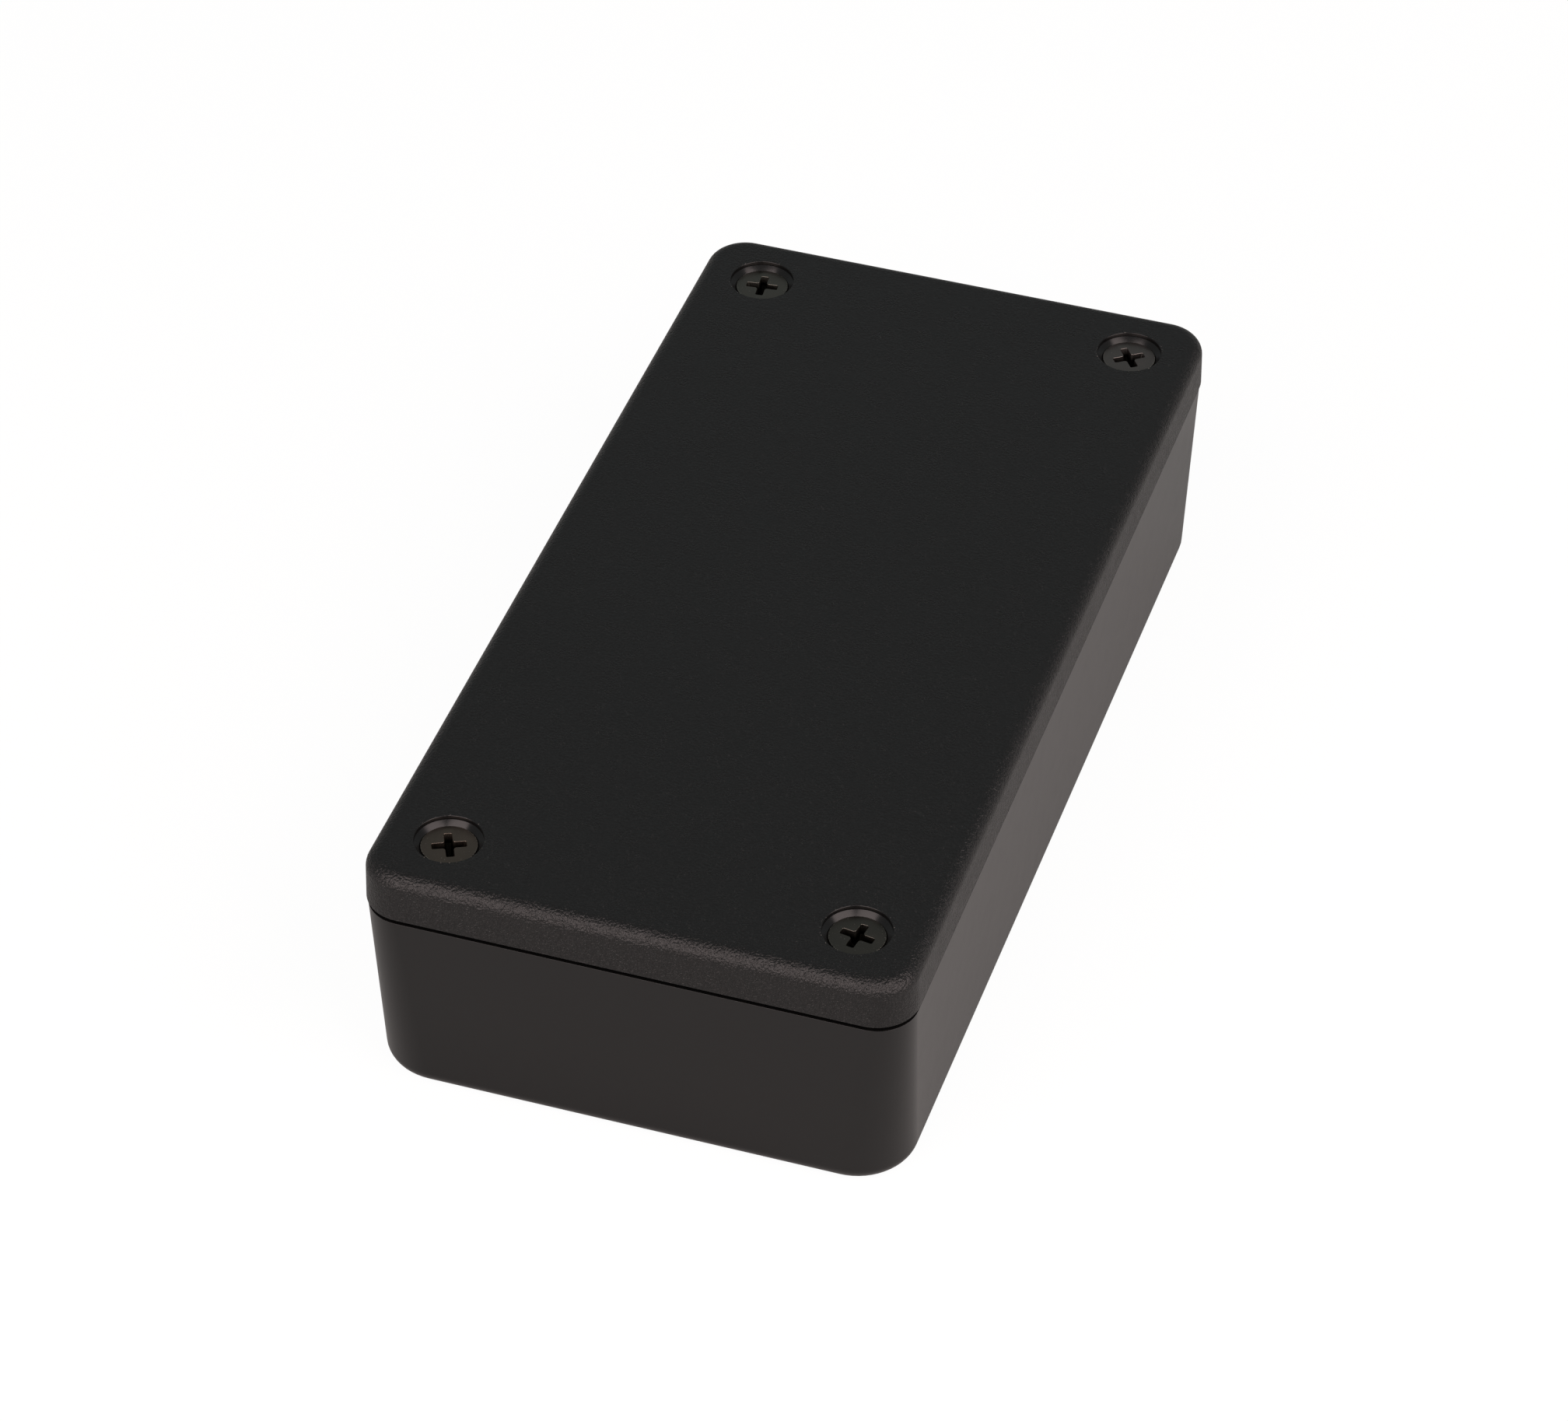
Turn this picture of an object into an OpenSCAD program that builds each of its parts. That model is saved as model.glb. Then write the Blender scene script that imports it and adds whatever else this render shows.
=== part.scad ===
// Small plastic project box: a drafted tub, an overlapping lid and four
// countersunk self-tapping screws.
// X is the width, Y the length and Z the height. The origin is the centre of the underside.

/* [Outside] */
// Length over the lid
length = 100; // [90:1:160]
// Width over the lid
width = 50; // [48:1:90]
// Height of the closed box
height = 24; // [22:0.5:40]
// Corner radius of the lid, seen from above
lid_corner_r = 3.9; // [3.6:0.1:5]
// Corner radius of the tub at its shoulder, seen from above
tub_corner_r = 3.7; // [3.5:0.1:4.5]
// Corner radius of the tub at its foot, seen from above
foot_corner_r = 5.5; // [4.5:0.1:7]
// Lean of the tub walls from upright, in degrees
tub_draft = 1.1; // [0.5:0.1:2.2]
// Lean of the lid's skirt from upright, in degrees
lid_draft = 1.2; // [0.5:0.1:3]
// Radius along the bottom edge of the tub
foot_edge_r = 1.5; // [1:0.1:2]
// Radius along the top edge of the lid
lid_edge_r = 1.4; // [0.8:0.1:1.6]

/* [Walls] */
// Wall thickness of the tub
wall_t = 2; // [1.8:0.1:2.2]
// Thickness of the tub's floor
floor_t = 2; // [1.8:0.1:2.5]
// Thickness of the lid's top plate
plate_t = 2; // [1.8:0.1:2.5]
// Radius inside, where the walls meet the floor
inside_edge_r = 1; // [0.6:0.1:1.4]

/* [Lap joint] */
// Height of the lid's skirt
skirt_h = 4.65; // [4.3:0.05:6]
// How far the lid stands out past the tub's shoulder
overhang = 0.15; // [0.05:0.05:0.3]
// Open seam between the skirt and the shoulder of the tub
seam_gap = 0.5; // [0.2:0.05:0.6]
// Thickness of the tub's upstanding lip
lip_t = 1.1; // [0.9:0.1:1.2]
// Height of the lip above the shoulder
lip_h = 2.35; // [1.5:0.05:2.5]
// Clearance round the lip
lip_gap = 0.1; // [0.05:0.05:0.2]

/* [Screws] */
// Distance between the screws across the width
screw_pitch_x = 37; // [36:0.1:37.2]
// Distance from the end screws' centres to the ends of the lid
screw_end_inset = 6.6; // [6.4:0.1:7]
// Radius of a screw head
head_r = 2.5; // [2.2:0.1:2.6]
// Height of the straight edge of a head
head_edge_h = 0.1; // [0.05:0.05:0.3]
// How far the heads lie below the lid
head_drop = 0.7; // [0.4:0.1:0.8]
// Length of a screw, head included
screw_l = 9.5; // [8:0.5:11]
// Radius of a screw's core, inside its thread
core_r = 1.09; // [0.9:0.01:1.2]
// Radius of the screw holes at the face of the lid, above their conical seats
counterbore_r = 3; // [2.8:0.1:3.2]
// Radius of the clearance holes under the heads
clear_r = 1.6; // [1.5:0.05:1.7]
// Radius of the screw posts
post_r = 3.3; // [3:0.1:3.4]

/* [Cross recess] */
// Tip-to-tip width of the cross at the face of the head
cross_span = 3.05; // [2.6:0.05:3.2]
// Width of an arm of the cross
cross_arm_w = 0.72; // [0.6:0.02:0.8]
// Depth of the cross recess
cross_depth = 1.5; // [1.2:0.05:1.6]
// Lean of the ends of the arms from upright, in degrees
cross_lean = 16; // [8:1:24]
// Angle at which each head stopped: front left, front right, back right, back left
head_turns = [25, -9, 35, 6];

/* [Board fixings] */
// Distance between neighbouring card guides
guide_pitch = 10; // [8:1:14]
// Width of the slot between the two ribs of a guide
guide_slot = 2; // [1.8:0.1:2.4]
// Thickness of a guide rib
guide_rib_t = 1; // [0.8:0.1:1.2]
// Distance between the two guides on an end wall
end_guide_pitch = 16; // [12:1:20]
// Distance between the board posts across the width
board_pitch_x = 30; // [28:1:32]
// Distance between the board posts along the length
board_pitch_y = 64; // [56:1:66]
// Height of the board posts above the floor
board_post_h = 4; // [4:0.5:6]
// Radius of a board post at its top
board_post_r = 2.4; // [2.2:0.1:2.6]
// Radius of the pilot hole in a board post
board_hole_r = 1; // [0.8:0.05:1.1]

/* [Hidden] */
$fn = 64;

// Heights of the closed box's levels
skirt_z = height - skirt_h;
shoulder_z = skirt_z - seam_gap;
lip_z = shoulder_z + lip_h;
plate_z = height - plate_t;
head_z = height - head_drop;
seat_z = head_z - head_edge_h;
tip_z = head_z - screw_l;
// The lid's posts stand on the tub's posts here
post_z = lip_z - 0.7;

// Distances from the middle to the corner centres of the lid, and of the tub at its shoulder
lid_x = width / 2 - lid_corner_r;
lid_y = length / 2 - lid_corner_r;
tub_x = width / 2 - overhang - tub_corner_r;
tub_y = length / 2 - overhang - tub_corner_r;

screw_x = screw_pitch_x / 2;
screw_y = length / 2 - screw_end_inset;
// Corners in the order that the head turns have, as signs of X and Y
CORNERS = [[-1, -1], [1, -1], [1, 1], [-1, 1]];

hollow_r = tub_corner_r - wall_t;
lip_r = hollow_r + lip_t;
lip_lean = 1;
// Gap all round a head's cone, and round a screw's core in its pilot hole
seat_gap = 0.05;
pilot_r = core_r + 0.06;
pilot_z = tip_z - 3;
pilot_mouth = 0.4;
rim_break = 0.15;
head_break = 0.04;
point_h = 1.6;
web_t = 1.6;
// Facets round a full turn of the tub's drafted corners
hull_fn = 48;
guide_depth = 1.4;
guide_top = 18;
guide_lead = 2;
eps = 0.01;

// How far a leaning tub wall has drawn in at height z, from where it is at the shoulder
function drawn_in(z) = (shoulder_z - z) * tan(tub_draft);
// Radius of the lid's outside corner at height z
function lid_r(z) = lid_corner_r - (z - skirt_z) * tan(lid_draft);
// Half of the inside width, and of the inside length, at height z
function inside_x(z) = tub_x + hollow_r - drawn_in(z);
function inside_y(z) = tub_y + hollow_r - drawn_in(z);

// Sweeps an upright section round a rounded rectangle and fills its middle. The section's
// x runs outwards from the corner centres and its y is the height, from z0 to z1.
module tray_form(half_x, half_y, z0, z1) {
    for (c = CORNERS)
        translate([c.x * half_x, c.y * half_y, 0])
            rotate(atan2(c.y, c.x) - 45)
                rotate_extrude(angle = 90) children();
    for (side = [0:3]) {
        out = side % 2 == 0 ? half_x : half_y;
        run = side % 2 == 0 ? half_y : half_x;
        rotate(90 * side) translate([out, 0, 0]) rotate([90, 0, 0])
            linear_extrude(2 * run, center = true) children();
    }
    translate([-half_x, -half_y, z0]) cube([2 * half_x, 2 * half_y, z1 - z0]);
}

// Drafted solid from z0 to z1 with a rounded lower edge. Its upright corners grow sharper on
// the way up, from foot_r to top_r. wall is how far it lies inside the tub's outer faces.
module drafted_form(z0, z1, edge_r, foot_r, top_r, wall) {
    foot_shift = tub_corner_r - foot_r - wall - drawn_in(z0 + edge_r);
    top_shift = tub_corner_r - top_r - wall - drawn_in(z1);
    hull() for (c = CORNERS) {
        translate([c.x * (tub_x + foot_shift), c.y * (tub_y + foot_shift), z0 + edge_r])
            rotate_extrude($fn = hull_fn)
                translate([foot_r - edge_r, 0]) circle(edge_r, $fn = hull_fn);
        translate([c.x * (tub_x + top_shift), c.y * (tub_y + top_shift), z1 - eps])
            cylinder(eps, r = top_r, $fn = hull_fn);
    }
}

// Outside of the tub up to its shoulder, solid
module tub_form() {
    drafted_form(0, shoulder_z, foot_edge_r, foot_corner_r, tub_corner_r, 0);
}

// Hollow of the tub, up past the lip
module hollow_form() {
    drafted_form(floor_t, lip_z + 1, inside_edge_r, foot_corner_r - wall_t, hollow_r, wall_t);
}

// Lip that stands on the shoulder, solid
module lip_section() {
    polygon([
        [0, shoulder_z - wall_t],
        [hollow_r, shoulder_z - wall_t],
        [lip_r, shoulder_z],
        [lip_r - lip_h * tan(lip_lean), lip_z],
        [0, lip_z]
    ]);
}

// Outside of the lid, solid
module lid_section() {
    centre_z = height - lid_edge_r;
    centre = [lid_r(centre_z) - lid_edge_r / cos(lid_draft), centre_z];
    polygon([
        [0, skirt_z],
        [lid_corner_r, skirt_z],
        centre + lid_edge_r * [cos(lid_draft), sin(lid_draft)],
        [centre.x, height],
        [0, height]
    ]);
    translate(centre) circle(lid_edge_r);
}

// Hollow of the lid: a rebate that takes the tub's lip, and a shallower pocket inside it
module lid_hollow_section() {
    rebate_z = lip_z + 1.5 * lip_gap;
    polygon([
        [0, skirt_z - 1],
        [lip_r + lip_gap, skirt_z - 1],
        [lip_r + lip_gap, rebate_z],
        [hollow_r, rebate_z],
        [hollow_r - (plate_z - rebate_z) * tan(lid_draft), plate_z],
        [0, plate_z]
    ]);
}

// Places a child at each screw
module at_screws() {
    for (c = CORNERS) translate([c.x * screw_x, c.y * screw_y, 0]) children();
}

// Places a child at each board post
module at_board_posts() {
    for (c = CORNERS) translate([c.x * board_pitch_x / 2, c.y * board_pitch_y / 2, 0]) children();
}

// Post that a screw bites into, tied to both walls of its corner by webs
module screw_posts() {
    web_h = shoulder_z - 1.2 - floor_t / 2;
    at_screws() translate([0, 0, floor_t / 2]) cylinder(post_z - floor_t / 2, r = post_r);
    for (c = CORNERS) translate([c.x * screw_x, c.y * screw_y, floor_t / 2]) {
        web_x = inside_x(floor_t) + wall_t / 2 - screw_x;
        web_y = inside_y(floor_t) + wall_t / 2 - screw_y;
        translate([c.x > 0 ? 0 : -web_x, -web_t / 2, 0]) cube([web_x, web_t, web_h]);
        translate([-web_t / 2, c.y > 0 ? 0 : -web_y, 0]) cube([web_t, web_y, web_h]);
    }
}

// Blind hole for a screw's thread, with a small lead-in at its mouth
module pilot_hole() {
    rotate_extrude() polygon([
        [0, pilot_z],
        [pilot_r, pilot_z + pilot_r / 2],
        [pilot_r, post_z - pilot_mouth],
        [pilot_r + pilot_mouth, post_z],
        [pilot_r + pilot_mouth, lip_z + 1],
        [0, lip_z + 1]
    ]);
}

// One card guide on the wall at +X: two upright ribs with sloping tops.
// face is the distance to the inside of the wall at its foot.
module card_guide(face) {
    lean = (guide_top - floor_t) * tan(tub_draft);
    inner = face + lean - guide_depth;
    for (s = [-1, 1])
        translate([0, s * (guide_slot + guide_rib_t) / 2, 0]) rotate([90, 0, 0])
            linear_extrude(guide_rib_t, center = true) polygon([
                [inner, floor_t / 2],
                [face + wall_t / 2, floor_t / 2],
                [face + wall_t / 2 + lean, guide_top],
                [face + lean, guide_top],
                [inner, guide_top - guide_lead]
            ]);
}

module card_guides() {
    side_n = floor((screw_y - post_r - guide_pitch / 2) / guide_pitch);
    for (turn = [0, 180]) {
        rotate(turn) for (i = [-side_n:side_n])
            translate([0, i * guide_pitch, 0]) card_guide(inside_x(floor_t));
        rotate(turn + 90) for (s = [-1, 1])
            translate([0, s * end_guide_pitch / 2, 0]) card_guide(inside_y(floor_t));
    }
}

// Tub: walls, floor, lip, screw posts, card guides and board posts, moulded as one
module base() {
    color("#2e2c2b") difference() {
        union() {
            difference() {
                union() {
                    tub_form();
                    tray_form(tub_x, tub_y, shoulder_z - wall_t, lip_z) lip_section();
                }
                hollow_form();
            }
            screw_posts();
            card_guides();
            at_board_posts() translate([0, 0, floor_t / 2])
                cylinder(board_post_h + floor_t / 2, r1 = board_post_r + 0.2, r2 = board_post_r);
        }
        at_screws() pilot_hole();
        at_board_posts() translate([0, 0, floor_t]) cylinder(board_post_h + 1, r = board_hole_r);
    }
}

// Stepped hole in the lid: broken rim, short counterbore, conical seat and clearance hole
module screw_hole() {
    cone_foot_z = seat_z - (head_r + seat_gap - clear_r);
    rotate_extrude() polygon([
        [0, post_z - 1],
        [clear_r, post_z - 1],
        [clear_r, cone_foot_z],
        [counterbore_r, cone_foot_z + counterbore_r - clear_r],
        [counterbore_r, height - rim_break],
        [counterbore_r + rim_break, height],
        [counterbore_r + rim_break, height + 1],
        [0, height + 1]
    ]);
}

// Lid: top plate, skirt with its rebate and four posts, moulded as one
module lid() {
    color("#262627") difference() {
        union() {
            difference() {
                tray_form(lid_x, lid_y, skirt_z, height) lid_section();
                tray_form(tub_x, tub_y, skirt_z - 1, plate_z) lid_hollow_section();
            }
            at_screws() translate([0, 0, post_z]) cylinder(plate_z - post_z + 1, r = post_r);
        }
        at_screws() screw_hole();
    }
}

// Recess for a cross-point driver: two steep-ended blades crossed over a conical pit
module cross_recess() {
    top = cross_span / 2;
    arm_depth = 0.6 * cross_depth;
    foot = top - arm_depth * tan(cross_lean);
    for (turn = [0, 90])
        rotate([90, 0, turn]) linear_extrude(cross_arm_w, center = true) polygon([
            [-top, eps], [-top, 0], [-foot, -arm_depth], [0, -cross_depth],
            [foot, -arm_depth], [top, 0], [top, eps]
        ]);
    rotate_extrude() polygon([
        [0, eps], [cross_arm_w, eps], [cross_arm_w, 0], [cross_arm_w / 2, -arm_depth], [0, -cross_depth]
    ]);
}

// Countersunk self-tapping screw at a corner of CORNERS. Its thread is left off.
module screw(corner) {
    neck_z = seat_z - (head_r - core_r);
    color("#34322c")
        translate([CORNERS[corner].x * screw_x, CORNERS[corner].y * screw_y, 0])
            rotate(head_turns[corner]) difference() {
                rotate_extrude() polygon([
                    [0, head_z],
                    [head_r - head_break, head_z],
                    [head_r, head_z - head_break],
                    [head_r, seat_z],
                    [core_r, neck_z],
                    [core_r, tip_z + point_h],
                    [core_r / 3, tip_z],
                    [0, tip_z]
                ]);
                translate([0, 0, head_z]) cross_recess();
            }
}

base();
lid();
screw(0);  // screw_front_left
screw(1);  // screw_front_right
screw(2);  // screw_back_right
screw(3);  // screw_back_left
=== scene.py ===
"""Dresses a small black project box: a drafted tub, an overlapping lid and four countersunk screws."""

import logging
from collections.abc import Mapping, Sequence
from dataclasses import dataclass, field
from enum import Enum
from math import acos, asin, atan2, cos, degrees, pi, radians, sin, tan
from typing import Protocol

import bmesh
import bpy
from mathutils import Matrix, Vector


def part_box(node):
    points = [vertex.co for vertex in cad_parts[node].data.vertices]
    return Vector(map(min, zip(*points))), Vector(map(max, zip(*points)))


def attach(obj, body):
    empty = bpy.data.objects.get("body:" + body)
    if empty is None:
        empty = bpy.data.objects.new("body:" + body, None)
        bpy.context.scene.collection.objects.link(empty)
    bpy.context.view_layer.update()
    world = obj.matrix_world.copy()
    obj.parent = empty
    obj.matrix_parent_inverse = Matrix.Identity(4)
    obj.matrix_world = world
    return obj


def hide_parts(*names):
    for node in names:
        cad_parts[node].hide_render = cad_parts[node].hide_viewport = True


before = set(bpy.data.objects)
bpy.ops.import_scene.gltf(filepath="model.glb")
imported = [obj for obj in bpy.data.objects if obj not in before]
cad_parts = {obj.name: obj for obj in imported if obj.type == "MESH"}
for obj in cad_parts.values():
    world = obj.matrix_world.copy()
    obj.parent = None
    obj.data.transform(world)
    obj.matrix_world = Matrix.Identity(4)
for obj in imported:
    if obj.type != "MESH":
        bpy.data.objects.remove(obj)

LOG = logging.getLogger("project_box")
MM = 0.001  # metres in a millimetre; meshes are drawn in millimetres and scaled once

Point = tuple[float, float]


class Corner(Enum):
    """The four screw corners: the angle at which the head stopped, and how the blackening took."""

    FRONT_LEFT = (25.0, "#655d55")
    FRONT_RIGHT = (-9.0, "#55534e")
    BACK_RIGHT = (35.0, "#6f6b68")
    BACK_LEFT = (6.0, "#63625c")

    @property
    def node(self) -> str:
        """Name of the corner's screw, which is also its body."""
        return f"screw_{self.name.lower()}"

    @property
    def turn(self) -> float:
        """Angle of the cross recess about Z, in degrees."""
        return self.value[0]

    @property
    def tint(self) -> str:
        """Colour of the blackened head."""
        return self.value[1]


class Cut(Enum):
    """What a boolean step does with its tool."""

    ADD = "UNION"
    REMOVE = "DIFFERENCE"


# ---------------------------------------------------------------- meshes


def arc(centre: Point, radius: float, start: float, end: float, steps: int = 8) -> list[Point]:
    """Points along an arc of a section.

    Args:
        centre: Centre of the arc.
        radius: Its radius.
        start: Angle of its first point, in degrees.
        end: Angle of its last point, in degrees.
        steps: Number of chords.

    Returns:
        The points, both ends included.
    """
    angles = (radians(start + (end - start) * i / steps) for i in range(steps + 1))
    return [(centre[0] + radius * cos(a), centre[1] + radius * sin(a)) for a in angles]


def loft(rings: Sequence[Sequence[Vector]]) -> bmesh.types.BMesh:
    """Joins rings of equal length into a closed shell.

    Args:
        rings: The rings in order. The first and the last are closed with a face, and a
            ring of points that coincide becomes a pole.

    Returns:
        The shell, with its normals outwards.
    """
    mesh = bmesh.new()
    rows = [[mesh.verts.new(point) for point in ring] for ring in rings]
    count = len(rows[0])
    for low, high in zip(rows, rows[1:]):
        for i in range(count):
            j = (i + 1) % count
            mesh.faces.new((low[i], low[j], high[j], high[i]))
    mesh.faces.new(rows[0])
    mesh.faces.new(rows[-1])
    bmesh.ops.remove_doubles(mesh, verts=mesh.verts, dist=1e-4)
    bmesh.ops.recalc_face_normals(mesh, faces=mesh.faces)
    return mesh


def revolve(section: Sequence[Point], segments: int = 64) -> bmesh.types.BMesh:
    """Turns a section about Z into a closed solid.

    Args:
        section: Radius and height of each point, from the axis round to the axis.
        segments: Number of steps round the axis.

    Returns:
        The solid.
    """
    turns = [2 * pi * i / segments for i in range(segments)]
    return loft([[Vector((r * cos(a), r * sin(a), z)) for a in turns] for r, z in section])


def extrude(outline: Sequence[Point], z0: float, z1: float) -> bmesh.types.BMesh:
    """Raises an outline from z0 to z1 as a solid."""
    return loft([[Vector((x, y, z)) for x, y in outline] for z in (z0, z1)])


def make_object(name: str, mesh: bmesh.types.BMesh, place: Matrix = Matrix()) -> bpy.types.Object:
    """Turns a mesh drawn in millimetres into an object at the origin.

    Args:
        name: Name of the object and of its mesh.
        mesh: The mesh, which is used up.
        place: Where it goes, in millimetres.

    Returns:
        The object, in metres and linked to the scene.
    """
    mesh.transform(Matrix.Scale(MM, 4) @ place)
    data = bpy.data.meshes.new(name)
    mesh.to_mesh(data)
    mesh.free()
    piece = bpy.data.objects.new(name, data)
    bpy.context.scene.collection.objects.link(piece)
    return piece


def freeze(piece: bpy.types.Object) -> None:
    """Turns what the piece's modifiers make into its own plain mesh."""
    graph = bpy.context.evaluated_depsgraph_get()
    data = bpy.data.meshes.new_from_object(piece.evaluated_get(graph))
    data.name = piece.name
    piece.modifiers.clear()
    old, piece.data = piece.data, data
    bpy.data.meshes.remove(old)


def combine(piece: bpy.types.Object, tool: bpy.types.Object, cut: Cut) -> None:
    """Adds a tool to a solid or takes it away, and deletes the tool.

    Args:
        piece: The solid that is changed.
        tool: A closed solid, or several that don't overlap.
        cut: What is done with it.
    """
    step = piece.modifiers.new(cut.name, "BOOLEAN")
    step.operation = cut.value
    step.solver = "MANIFOLD"
    step.object = tool
    freeze(piece)
    bpy.data.objects.remove(tool)


def smooth(piece: bpy.types.Object, angle: float = 33.0) -> None:
    """Shades rounded faces smooth and keeps flats flat and edges crisp.

    Args:
        piece: The finished solid.
        angle: Edges that turn more than this stay sharp, in degrees.
    """
    piece.data.shade_smooth()
    piece.data.set_sharp_from_angle(angle=radians(angle))
    weights = piece.modifiers.new("weights", "WEIGHTED_NORMAL")
    weights.mode = "FACE_AREA"
    weights.keep_sharp = True
    freeze(piece)


# ---------------------------------------------------------------- node trees


def add_node(
    tree: bpy.types.NodeTree,
    kind: str,
    inputs: Mapping[str | int, object] | None = None,
    **settings: object,
) -> bpy.types.Node:
    """Adds a node with its settings and links.

    Args:
        tree: The tree that it goes in.
        kind: Blender's name for the kind of node.
        inputs: Value of each input, by name or number. An output socket is linked.
        **settings: Properties of the node itself.

    Returns:
        The node.
    """
    node = tree.nodes.new(kind)
    for name, value in settings.items():
        setattr(node, name, value)
    for key, value in (inputs or {}).items():
        if isinstance(value, bpy.types.NodeSocket):
            tree.links.new(value, node.inputs[key])
        else:
            node.inputs[key].default_value = value
    return node


class PieceTree:
    """A Geometry Nodes tree with named inputs that ends in Realize Instances and Set Material."""

    def __init__(self, name: str, sizes: Mapping[str, str]) -> None:
        """Starts the tree.

        Args:
            name: Name of the tree.
            sizes: Type of each input's socket, by the input's name.
        """
        self.tree = bpy.data.node_groups.new(name, "GeometryNodeTree")
        for label, kind in {**sizes, "Material": "NodeSocketMaterial"}.items():
            self.tree.interface.new_socket(label, in_out="INPUT", socket_type=kind)
        self.tree.interface.new_socket("Geometry", in_out="OUTPUT", socket_type="NodeSocketGeometry")
        self.inputs = self.tree.nodes.new("NodeGroupInput").outputs

    def add(self, kind: str, inputs: Mapping[str | int, object] | None = None, **settings: object) -> bpy.types.Node:
        """Adds a node, as add_node does."""
        return add_node(self.tree, kind, inputs, **settings)

    def math(self, operation: str, *values: object) -> bpy.types.NodeSocket:
        """Adds a sum on fields and returns its result."""
        return self.add("ShaderNodeMath", dict(enumerate(values)), operation=operation).outputs[0]

    def finish(self, geometry: bpy.types.NodeSocket) -> None:
        """Ends the tree with the geometry that it makes."""
        real = self.add("GeometryNodeRealizeInstances", {"Geometry": geometry})
        dressed = self.add(
            "GeometryNodeSetMaterial", {"Geometry": real.outputs[0], "Material": self.inputs["Material"]}
        )
        self.add("NodeGroupOutput", {"Geometry": dressed.outputs[0]})

    def grow(self, name: str, values: Mapping[str, object]) -> bpy.types.Object:
        """Makes an object from the tree.

        Args:
            name: Name of the object.
            values: Value of each named input, in metres and radians.

        Returns:
            The object, as a plain mesh.
        """
        piece = make_object(name, bmesh.new())
        modifier = piece.modifiers.new(name, "NODES")
        modifier.node_group = self.tree
        for item in self.tree.interface.items_tree:
            if item.in_out == "INPUT" and item.name in values:
                modifier[item.identifier] = values[item.name]
        freeze(piece)
        return piece


def row_tree() -> PieceTree:
    """Tree that stands copies of a piece in a row along one wall.

    Returns:
        A tree whose Turn input carries the whole row round to another wall.
    """
    made = PieceTree(
        "row_on_wall",
        {
            "Piece": "NodeSocketObject",
            "Count": "NodeSocketInt",
            "Pitch": "NodeSocketFloat",
            "Offset": "NodeSocketFloat",
            "Turn": "NodeSocketFloat",
        },
    )
    gaps = made.math("SUBTRACT", made.inputs["Count"], 1.0)
    start = made.math("MULTIPLY", made.math("MULTIPLY", gaps, made.inputs["Pitch"]), -0.5)
    first = made.add("ShaderNodeCombineXYZ", {"X": made.inputs["Offset"], "Y": start})
    step = made.add("ShaderNodeCombineXYZ", {"Y": made.inputs["Pitch"]})
    line = made.add(
        "GeometryNodeMeshLine",
        {"Count": made.inputs["Count"], "Start Location": first.outputs[0], "Offset": step.outputs[0]},
        mode="OFFSET",
    )
    piece = made.add("GeometryNodeObjectInfo", {"Object": made.inputs["Piece"]})
    copies = made.add(
        "GeometryNodeInstanceOnPoints", {"Points": line.outputs[0], "Instance": piece.outputs["Geometry"]}
    )
    real = made.add("GeometryNodeRealizeInstances", {"Geometry": copies.outputs[0]})
    spin = made.add("ShaderNodeCombineXYZ", {"Z": made.inputs["Turn"]})
    turned = made.add(
        "GeometryNodeTransform", {"Geometry": real.outputs[0], "Rotation": spin.outputs[0]}
    )
    made.finish(turned.outputs[0])
    return made


def corner_tree() -> PieceTree:
    """Tree that stands a copy of a piece in each corner, turned so that each faces its own corner."""
    made = PieceTree(
        "four_corners",
        {"Piece": "NodeSocketObject", "Pitch X": "NodeSocketFloat", "Pitch Y": "NodeSocketFloat"},
    )
    corners = made.add(
        "GeometryNodeMeshGrid",
        {"Size X": made.inputs["Pitch X"], "Size Y": made.inputs["Pitch Y"], "Vertices X": 2, "Vertices Y": 2},
    )
    place = made.add("ShaderNodeSeparateXYZ", {0: made.add("GeometryNodeInputPosition").outputs[0]})
    bearing = made.math("ARCTAN2", place.outputs["Y"], place.outputs["X"])
    quarter = made.math("SNAP", bearing, pi / 2)
    spin = made.add("ShaderNodeCombineXYZ", {"Z": quarter})
    piece = made.add("GeometryNodeObjectInfo", {"Object": made.inputs["Piece"]})
    copies = made.add(
        "GeometryNodeInstanceOnPoints",
        {
            "Points": corners.outputs["Mesh"],
            "Instance": piece.outputs["Geometry"],
            "Rotation": spin.outputs[0],
        },
    )
    made.finish(copies.outputs[0])
    return made


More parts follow.
